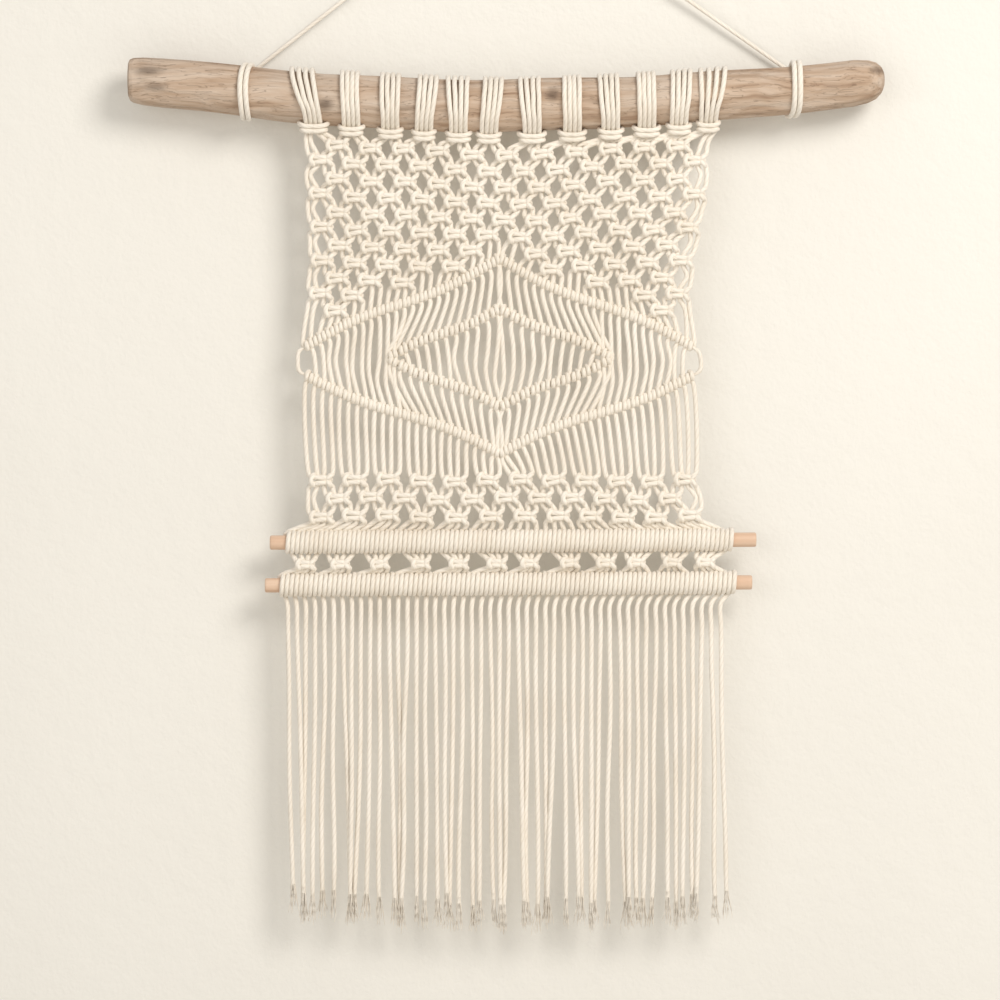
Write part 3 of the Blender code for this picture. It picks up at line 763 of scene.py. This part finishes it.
def ridge_hitch(route, x, line, side):
    along_x, along_z = slope_of(line, x)
    z = float(line(x))
    hitch(route, (x, RIDGE_Y, z), along_x, along_z, RIDGE_WRAP_R, "panel", side, RIDGE_STEP)
    clear = RIDGE_WRAP_R + 2.2 * GRIP_R
    route.add([(x + along_z * clear, CLOTH_Y, z - along_x * clear)], "panel")


def spread_places(low, high, count):
    """count hitches side by side between two ends of a ridge."""
    return low + (high - low) * (np.arange(count) + 0.5) / count


def free_run(route, goal, zone, slack=0.0010):
    """A free cord hangs to the next point with a slight bend: points every 12 mm, drifting sideways."""
    start = np.array(route.points[-1])
    goal = np.array(goal, float)
    count = int(np.linalg.norm(goal - start) / 0.012)
    phase, size = rng.uniform(0, 2 * math.pi), rng.uniform(0.3, 1.0) * slack
    for i in range(1, count):
        share = i / count
        drift = size * math.sin(math.pi * share) * math.sin(phase + 4.5 * share)
        point = start + (goal - start) * share
        point[1] = CLOTH_Y + (point[1] - CLOTH_Y) * 0.4
        route.add([(point[0] + drift, point[1] + rng.normal(0, 0.0003), point[2])], zone)


def panel():
    """All cords but four are hitched on the outer ridges; four carry the ridges: two go out from the
    top to the edges and back to the bottom point, two do the same round the inner lozenge."""
    half = CORDS // 2
    outer_leaders, inner_leaders = (half - 1, half), (half - 2, half + 1)

    def ridge_places(side_z):
        """x of every hitch on an outer ridge, by cord."""
        left = spread_places(float(left_edge(side_z)) + EDGE_GAP, PANEL_MID_X, half - 1)
        right = spread_places(PANEL_MID_X, float(right_edge(side_z)) - EDGE_GAP, half - 1)
        return dict(zip([c for c in range(CORDS) if c not in outer_leaders], [*left, *right]))

    upper_x, lower_x = ridge_places(UPPER_SIDE_Z), ridge_places(LOWER_SIDE_Z)
    inner = 11
    inner_x = dict(zip(range(half - 2 - inner, half - 2),
                       spread_places(PANEL_MID_X - INNER_HALF, PANEL_MID_X, inner)))
    inner_x.update(zip(range(half + 2, half + 2 + inner),
                       spread_places(PANEL_MID_X, PANEL_MID_X + INNER_HALF, inner)))
    for cord, route in enumerate(routes):
        side = 1 if cord < half else -1
        if cord in outer_leaders:
            lead(route, upper_ridge_z, lower_ridge_z, side,
                 float(left_edge(UPPER_SIDE_Z) if side > 0 else right_edge(UPPER_SIDE_Z)),
                 float(left_edge(LOWER_SIDE_Z) if side > 0 else right_edge(LOWER_SIDE_Z)))
            continue
        free_run(route, (upper_x[cord], CLOTH_Y, float(upper_ridge_z(upper_x[cord])) + 0.002), "upper")
        ridge_hitch(route, upper_x[cord], upper_ridge_z, side)
        if cord in inner_leaders:
            corner = PANEL_MID_X - side * INNER_HALF
            free_run(route, (PANEL_MID_X - side * 0.0015, CLOTH_Y, INNER_TOP_Z + 0.003), "panel")
            lead(route, inner_top_z, inner_low_z, side, corner, corner)
        elif cord in inner_x:
            x = inner_x[cord]
            free_run(route, (x, CLOTH_Y, float(inner_top_z(x)) + 0.003), "panel")
            ridge_hitch(route, x, inner_top_z, side)
            free_run(route, (x, CLOTH_Y, float(inner_low_z(x)) + 0.003), "panel")
            ridge_hitch(route, x, inner_low_z, -side)
        free_run(route, (lower_x[cord], CLOTH_Y, float(lower_ridge_z(lower_x[cord])) + 0.003), "panel")
        ridge_hitch(route, lower_x[cord], lower_ridge_z, -side)


def lead(route, top_line, low_line, side, top_end, low_end):
    """A leader goes out along the upper line from the middle, round in a small loop at the edge, and
    back along the lower line to the middle."""
    start = PANEL_MID_X - side * 0.0015
    out = np.linspace(start, top_end + side * 0.003, 12)
    back = np.linspace(low_end + side * 0.003, start, 12)
    route.add([(start, CLOTH_Y, float(top_line(start)) + 0.0015)], "panel", 0.9)
    route.add([(x, RIDGE_Y, float(top_line(x))) for x in out[1:]], "panel", LEADER_THIN)
    z_top, z_low = float(top_line(out[-1])), float(low_line(back[0]))
    bulge = 0.0004 + 0.06 * (z_top - z_low)
    route.add([(top_end - side * bulge * 0.55, RIDGE_Y, z_top + (z_low - z_top) * 0.16),
               (min(top_end, low_end, key=lambda x: side * x) - side * bulge, CLOTH_Y, (z_top + z_low) / 2),
               (low_end - side * bulge * 0.55, RIDGE_Y, z_top + (z_low - z_top) * 0.84)], "panel", 0.95)
    route.add([(x, RIDGE_Y, float(low_line(x))) for x in back[:-1]], "panel", LEADER_THIN)
    route.add([(start, CLOTH_Y, float(low_line(start)) - 0.0030)], "panel", 0.9)


# ---- dowels, bridge knots and fringe ----

def dowel_hitches(name, zone):
    """Two turns of every cord side by side fill the band from end to end."""
    low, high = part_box(zone)
    places = spread_places(low[0], high[0], CORDS)
    step = (high[0] - low[0]) / CORDS / 2
    for route, x in zip(routes, places):
        hitch(route, (x, CLOTH_Y, dowel_axis(name, x)), 1.0, 0.0, DOWEL_WRAP_R, zone, 1, step)


def bridges():
    """A square knot of each four cords between the two dowels."""
    for i, x in enumerate(BRIDGE_X):
        z = (dowel_axis("upper", x) + dowel_axis("lower", x)) / 2
        square_knot(routes[4 * i:4 * i + 4], x, z - 0.0004, "bridge", rng.uniform(0.72, 0.80),
                    rng.uniform(0.74, 0.82), rng.normal(0, 0.06), 0.0010)


FRINGE_LEFT, FRINGE_RIGHT = -0.1370, 0.1345
FRINGE_LOW_Z, FRINGE_CURVE = -0.6600, 0.0065
FRAY = 0.020
fray_tips = []


def fringe():
    """Each cord hangs from its last hitch, drifting together with its neighbours into loose clumps, and
    the last stretch is unravelled into single yarns."""
    start_x = np.linspace(FRINGE_LEFT, FRINGE_RIGHT, CORDS)
    number = np.arange(CORDS)
    clump = 0.0026 * np.sin(2 * math.pi * number / 5.1 + 0.7) + 0.0022 * np.sin(2 * math.pi * number / 2.7)
    clump = clump + rng.normal(0, 0.0009, CORDS)
    lift = FRINGE_CURVE * (2 * number / (CORDS - 1) - 1) ** 2 + rng.normal(0, 0.0022, CORDS)
    for cord, route in enumerate(routes):
        x0 = start_x[cord]
        z0 = dowel_axis("lower", x0) - DOWEL_WRAP_R - 2 * CORD_R
        z1 = FRINGE_LOW_Z + lift[cord]
        share = np.linspace(0.02, 1, 16)
        phase, waves, size = rng.uniform(0, 2 * math.pi), rng.uniform(5, 11), rng.uniform(0.2, 0.9)
        wave = 0.0009 * size * np.sin(phase + waves * share) * np.minimum(1, 4 * share)
        xs = x0 + clump[cord] * share ** 1.3 + wave
        ys = CLOTH_Y + 0.0011 * (-1) ** cord * np.minimum(1, 3 * share) + rng.normal(0, 0.0004, len(share))
        zs = z0 + (z1 - z0) * share
        line = np.stack([xs, ys, zs], axis=1)
        keep = zs > z1 + FRAY - 0.003
        route.add(line[keep], "fringe")
        end = np.array([np.interp(z1 + FRAY - 0.004, zs[::-1], values[::-1]) for values in (xs, ys, zs)])
        route.add([end], "fringe", 0.86)
        fray_tips.append((end, line[-1]))


def above_ridge(x, z):
    """Whether a knot at (x, z) clears the upper ridge at both its sides."""
    half_wide, half_high, gap = 0.005, 0.0036, 0.0030
    return z - half_high > float(max(upper_ridge_z(x - half_wide), upper_ridge_z(x + half_wide))) + gap


for group in range(GROUPS):
    mounting_group(group)
net(NET_ROWS, False, row_z, above_ridge, "upper")
panel()
net(3, True, lambda row, x: LOWER_FIRST_ROW_Z - LOWER_ROW * row + 0 * x, lambda x, z: True, "lower")
dowel_hitches("upper", "band_upper")
bridges()
dowel_hitches("lower", "band_lower")
fringe()


# ---- routes into tubes ----

SPLINE_STEPS = 7
RING_STEP = {"mount": 0.0016, "upper": 0.0014, "panel": 0.0015, "lower": 0.0014, "band_upper": 0.0015,
             "bridge": 0.0014, "band_lower": 0.0015, "fringe": 0.0030}
SIDES = 8


def cut_routes():
    """All cords with the same number of rings in each zone: their lines (cord, ring, xyz), radii, lengths
    along the cord, and where each zone starts and ends in the row of rings."""
    curves, cuts = [], []
    for route in routes:
        points = np.array(route.points)
        curve, (thick,) = smooth_line(points, [np.array(route.thick)], SPLINE_STEPS)
        s = along(curve)
        zone = np.array(route.zones)
        bounds = [0.0]
        for name in ZONES[1:]:
            first = int(np.argmax(zone == name))
            at = (first - 0.5) * SPLINE_STEPS
            bounds.append(float(np.interp(at, np.arange(len(s)), s)))
        bounds.append(float(s[-1]))
        curves.append((curve, thick, s))
        cuts.append(bounds)
    cuts = np.array(cuts)
    spans = np.diff(cuts, axis=1)
    counts = [int(math.ceil(spans[:, i].max() / RING_STEP[name])) for i, name in enumerate(ZONES)]
    lines, radii, lengths = [], [], []
    for (curve, thick, s), bounds in zip(curves, cuts):
        at = np.concatenate([np.linspace(bounds[i], bounds[i + 1], counts[i] + 1)[:-1]
                             for i in range(len(ZONES))] + [[bounds[-1]]])
        lines.append(np.stack([np.interp(at, s, curve[:, k]) for k in range(3)], axis=1))
        radii.append(np.interp(at, s, thick) * CORD_R)
        lengths.append(at)
    starts = np.concatenate([[0], np.cumsum(counts)])
    return np.array(lines), np.array(radii), np.array(lengths), dict(zip(ZONES, zip(starts[:-1], starts[1:])))


lines, radii, lengths, zone_rings = cut_routes()
frames = turning_frames(lines)


def zone_tubes(zone, cords=slice(None)):
    """The stretch of some cords in one zone, as tubes."""
    first, last = zone_rings[zone]
    cut = (cords, slice(first, last + 1))
    return tube_arrays(lines[cut], radii[cut], lengths[cut], SIDES, tuple(f[cut] for f in frames))


for group in range(GROUPS):
    four = slice(4 * group, 4 * group + 4)
    number = f"{group + 1:02d}"
    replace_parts(build_mesh(f"mounting_loops_{number}", [zone_tubes("mount", four)], cotton),
                f"mounting_knot_{number}")
    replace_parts(build_mesh(f"gathering_knot_{number}", [zone_tubes("bridge", four)], cotton),
                f"bridge_knot_{number}")

net_left = build_mesh("square_knot_net_left", [zone_tubes("upper", slice(0, CORDS // 2))], cotton)
net_right = build_mesh("square_knot_net_right", [zone_tubes("upper", slice(CORDS // 2, CORDS))], cotton)
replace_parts(net_left, "upper_net")
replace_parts(net_right, "upper_net")
panel_piece = build_mesh("lozenge_panel", [zone_tubes("panel")], cotton)
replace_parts(panel_piece, "ridge_upper", "ridge_inner", "ridge_lower",
            "field_outer", "field_inner", "lower_curtain")
lower_piece = build_mesh("lower_net_cords", [zone_tubes("lower")], cotton)
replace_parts(lower_piece, "lower_net")
for name in ("upper", "lower"):
    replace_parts(build_mesh(f"hitches_{name}", [zone_tubes(f"band_{name}")], cotton), f"band_{name}")


# ---- frayed ends ----

YARNS = 9
YARN_R = 0.00042


def frayed_yarns():
    """Each cord's end comes apart into yarns: they start inside the cord and splay to a small brush."""
    stations = 10
    share = np.linspace(0, 1, stations)
    yarn_lines, yarn_radii = [], []
    for end, tip in fray_tips:
        turn = rng.uniform(0, 2 * math.pi)
        wide = rng.uniform(0.7, 1.3)
        for k in range(YARNS):
            angle = turn + 2 * math.pi * k / YARNS
            root = end + np.array([math.cos(angle), math.sin(angle), 0]) * CORD_R * 0.62
            root[2] += 0.004
            splay = wide * rng.uniform(0.25, 1.0) * 0.0040
            goal = tip + np.array([math.cos(angle) * splay, 0.35 * math.sin(angle) * splay,
                                   rng.normal(0, 0.0018)])
            path = root + (goal - root) * share[:, None]
            path[:, :2] += (goal - root)[:2] * (share ** 2 - share)[:, None] * 0.6
            path[:, 0] += 0.0005 * np.sin(rng.uniform(0, 6) + rng.uniform(5, 9) * share) * share
            yarn_lines.append(path)
            yarn_radii.append(YARN_R * (1 - 0.55 * share))
    yarn_lines, yarn_radii = np.array(yarn_lines), np.array(yarn_radii)
    s = np.concatenate([np.zeros((len(yarn_lines), 1)),
                        np.cumsum(np.linalg.norm(np.diff(yarn_lines, axis=1), axis=2), axis=1)], axis=1)
    return tube_arrays(yarn_lines, yarn_radii, s, 5, turning_frames(yarn_lines))


fringe_piece = build_mesh("fringe_cords", [zone_tubes("fringe"), frayed_yarns()], cotton)
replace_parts(fringe_piece, "fringe")


# ---- the hanging string and its turns ----

LEAVES_ABOVE = 0.0115
WRAP_R = 0.00165
WRAPS = {"left": -0.163, "right": 0.1805}


def string_end(x):
    """Where the string leaves a wrap: resting on it, behind the branch and above its axis."""
    reach = float(branch_r(x)) + 0.0005 + 2 * STRING_R + 0.0005 + STRING_R
    behind = math.sqrt(reach ** 2 - LEAVES_ABOVE ** 2)
    return np.array([x, BRANCH_Y + behind, float(branch_z(x)) + LEAVES_ABOVE])


def string_points():
    """Up from the left wrap in a straight line, a round bend over the nail, down to the right wrap."""
    bend_r = 0.0062
    left, right = string_end(WRAPS["left"]), string_end(WRAPS["right"])
    falls = [math.atan2(-end[2], abs(end[0])) for end in (left, right)]
    angle = np.linspace(math.pi / 2 + falls[0], math.pi / 2 - falls[1], 9)
    bend = np.stack([bend_r * np.cos(angle), 0 * angle, STRING_R - bend_r + bend_r * np.sin(angle)], axis=1)
    legs = [np.linspace(a, b, 34) for a, b in ((left, bend[0]), (bend[-1], right))]
    return np.vstack([legs[0], bend[1:-1], legs[1]])


def one_tube(points, radius, sides=10):
    line = np.asarray(points)[None]
    s = along(line[0])[None]
    return tube_arrays(line, np.full(s.shape, radius), s, sides, turning_frames(line))


string_line = string_points()
string = build_mesh("hanging_string_cord", [one_tube(string_line, STRING_R)], cotton)
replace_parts(string, "hanging_string")


def string_turns(name, x_mid, lean):
    """Two turns of string round the branch and a plain knot behind, round the foot of the hanging string."""
    turns = np.linspace(0.30, 2.30, 80)
    angle = 2 * math.pi * turns
    shift = 2.15 * WRAP_R * (turns - 1.25)
    tilt = lean * np.sin(angle) + 0.0006 * np.sin(angle * 2 + 1)
    xs = x_mid + shift + tilt
    r = branch_r(xs) + WRAP_R * 0.98
    ys = BRANCH_Y - r * np.sin(angle - math.pi)
    zs = branch_z(xs) - r * np.cos(angle - math.pi)
    helix = np.stack([xs, ys, zs], axis=1)
    foot = string_end(x_mid)
    loops = np.linspace(0, 2 * math.pi * 2.1, 40)
    knot_r = 2 * STRING_R
    centre = foot + np.array([0, 0.0004, -0.0010])
    wrap = np.stack([centre[0] + knot_r * np.cos(loops), centre[1] + 0.6 * knot_r * np.sin(loops),
                     centre[2] - 0.0022 + 0.0023 * loops / (2 * math.pi)], axis=1)
    tail = np.array([foot + (0.001, 0.0006, -0.003), foot + (0.0035, 0.0012, -0.010),
                     foot + (0.0045, 0.0008, -0.019)])
    tail, _ = smooth_line(tail, [np.ones(3)], 6)
    made = build_mesh(f"string_turns_{name}", [one_tube(helix, WRAP_R), one_tube(wrap, STRING_R * 0.9, 8),
                                               one_tube(tail, STRING_R, 8)], cotton)
    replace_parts(made, f"string_wrap_{name}")


string_turns("left", WRAPS["left"], 0.0010)
string_turns("right", WRAPS["right"], -0.0022)


# ---- the branch and the dowels ----

def grid_mesh(name, points, finish):
    """A closed surface from a grid of rings (ring, around, xyz): a quad between each four neighbours and
    a fan to a pole at each end, the mean of its end ring."""
    rings, sides = points.shape[:2]
    base = np.arange(rings - 1)[:, None] * sides
    k = np.arange(sides)[None, :]
    nxt = (k + 1) % sides
    quads = np.stack([base + k, base + nxt, base + sides + nxt, base + sides + k], -1).reshape(-1, 4)
    ends = np.stack([points[0].mean(axis=0), points[-1].mean(axis=0)])
    pole = rings * sides
    k, nxt = k[0], nxt[0]
    fan_a = np.stack([np.full(sides, pole), nxt, k], -1)
    last = (rings - 1) * sides
    fan_b = np.stack([np.full(sides, pole + 1), last + k, last + nxt], -1)
    mesh = bpy.data.meshes.new(name)
    verts = np.vstack([points.reshape(-1, 3), ends])
    mesh.from_pydata(verts.tolist(), [], quads.tolist() + fan_a.tolist() + fan_b.tolist())
    mesh.shade_smooth()
    return add_piece(name, mesh, finish)


BRANCH_LEFT, BRANCH_RIGHT = BRANCH_LOW[0], BRANCH_HIGH[0]
BLUNT_END = np.array(((0.0, 0.70), (0.0010, 0.86), (0.003, 0.93), (0.009, 0.98), (0.022, 1.0)))
ROUND_END = np.array(((0.0, 0.26), (0.0008, 0.44), (0.0018, 0.57), (0.005, 0.79),
                      (0.010, 0.92), (0.019, 1.0)))
# hollows and swellings of the branch: (x, way round in degrees, size along, size round, depth)
BRANCH_MARKS = (
    (-0.231, 178, 0.006, 0.9, 0.0016), (-0.222, 215, 0.010, 0.5, 0.0011),
    (-0.214, 140, 0.014, 0.4, 0.0008),
    (-0.1135, 205, 0.006, 0.30, 0.0007), (0.0290, 193, 0.006, 0.35, 0.0006), (0.2330, 140, 0.004, 0.5, 0.0009),
    (-0.060, 235, 0.030, 0.25, 0.0005), (0.160, 222, 0.050, 0.16, 0.0008), (0.205, 217, 0.030, 0.14, 0.0007),
    (-0.180, 190, 0.020, 0.35, -0.0005), (0.120, 165, 0.030, 0.5, -0.0004),
)


def branch_surface():
    """Radius as a function of x and the way round: the branch's own, times its ends' rounding, less long
    shallow grooves that wander slowly round it, less each mark's bell-shaped hollow."""
    rings, sides = 330, 72
    edge = 0.012
    near = edge * np.linspace(0, 1, 26) ** 1.7
    x = np.concatenate([BRANCH_LEFT + near, np.linspace(BRANCH_LEFT + edge, BRANCH_RIGHT - edge, rings)[1:-1],
                        (BRANCH_RIGHT - near)[::-1]])[:, None]
    turn = (np.arange(sides) * 2 * math.pi / sides)[None, :]
    share = np.interp(x - BRANCH_LEFT, BLUNT_END[:, 0], BLUNT_END[:, 1])
    share = share * np.interp(BRANCH_RIGHT - x, ROUND_END[:, 0], ROUND_END[:, 1])
    grooves = 0.00022 * np.sin(9 * turn + 14 * x + 2.0 * np.sin(11 * x)) + 0.00016 * np.sin(
        17 * turn - 21 * x + 1.5 * np.sin(23 * x + 1)) + 0.0004 * np.sin(2 * turn + 9 * x) + 0.00025 * np.sin(
        5 * turn + 31 * x)
    r = branch_r(x) * share + grooves * np.minimum(1, share ** 2)
    for at, degrees, long, round_, depth in BRANCH_MARKS:
        away = (turn - math.radians(degrees) + math.pi) % (2 * math.pi) - math.pi
        r = r - depth * np.exp(-((x - at) / long) ** 2 - (away / round_) ** 2)
    wander = 0.0006 * np.sin(23 * x + 0.5) + 0.0004 * np.sin(61 * x)
    y = BRANCH_Y + r * np.cos(turn)
    z = branch_z(x) + wander + r * np.sin(turn)
    return np.stack([np.broadcast_to(x, y.shape), y, z], axis=-1)


def dowel_surface(name):
    """A turned rod along its axis: its profile runs out to a small bevel at each end."""
    low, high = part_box(f"dowel_{name}")
    r = (high[1] - low[1]) / 2
    d = np.array([0, 0.0001, 0.0005, 0.0011, 0.003])
    share = np.array([0.80, 0.88, 0.97, 1.0, 1.0])
    middle = np.linspace(low[0] + 0.01, high[0] - 0.01, 20)
    x = np.concatenate([low[0] + d, middle, (high[0] - d)[::-1]])[:, None]
    radius = r * np.concatenate([share, np.ones(20), share[::-1]])[:, None]
    turn = (np.arange(32) * 2 * math.pi / 32)[None, :]
    y = CLOTH_Y + radius * np.cos(turn)
    z = dowel_axis(name, x) + radius * np.sin(turn)
    return np.stack([np.broadcast_to(x, y.shape), y, z], axis=-1)


branch = grid_mesh("driftwood_branch", branch_surface(), grey_wood)
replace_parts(branch, "driftwood")
for name in ("upper", "lower"):
    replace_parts(grid_mesh(f"birch_dowel_{name}", dowel_surface(name), birch), f"dowel_{name}")


# ---- the wall, the floor and the light ----

WALL_Y = 0.0118
FLOOR_Z = -0.76


def flat_piece(name, corners, finish):
    mesh = bpy.data.meshes.new(name)
    mesh.from_pydata(corners, [], [(0, 1, 2, 3)])
    made = add_object(name, mesh, finish)
    return made


wall = flat_piece("wall", [(-2.5, WALL_Y, FLOOR_Z), (2.5, WALL_Y, FLOOR_Z),
                           (2.5, WALL_Y, 1.2), (-2.5, WALL_Y, 1.2)],
                  wall_material())
for ray in ("visible_diffuse", "visible_glossy", "visible_transmission", "visible_shadow"):
    setattr(wall, ray, False)
flat_piece("floor", [(-3, -4, FLOOR_Z), (3, -4, FLOOR_Z),
                     (3, 3, FLOOR_Z), (-3, 3, FLOOR_Z)], floor_material())


def soft_light(name, place, target, size, power, colour):
    data = bpy.data.lights.new(name, "AREA")
    data.shape = "DISK"
    data.size = size
    data.energy = power
    data.color = colour
    made = bpy.data.objects.new(name, data)
    made.location = place
    away = np.array(target, float) - np.array(place, float)
    heading = math.atan2(away[1], away[0])
    fall = math.atan2(-away[2], math.hypot(away[0], away[1]))
    made.rotation_euler = (math.pi / 2 - fall, 0, heading - math.pi / 2)
    bpy.context.scene.collection.objects.link(made)


MIDDLE = (0.0, 0.0, -0.38)
soft_light("window", (1.15, -1.75, 0.85), MIDDLE, 1.1, 33.0, (1.0, 0.965, 0.925))
soft_light("fill", (-1.4, -2.4, -0.5), MIDDLE, 2.4, 17.0, (1.0, 0.985, 0.97))

world = bpy.data.worlds.new("room")
bpy.context.scene.world = world
world.use_nodes = True
world.node_tree.nodes["Background"].inputs["Color"].default_value = (1.0, 0.98, 0.95, 1)
world.node_tree.nodes["Background"].inputs["Strength"].default_value = 0.56

bpy.context.scene.view_settings.view_transform = "Standard"
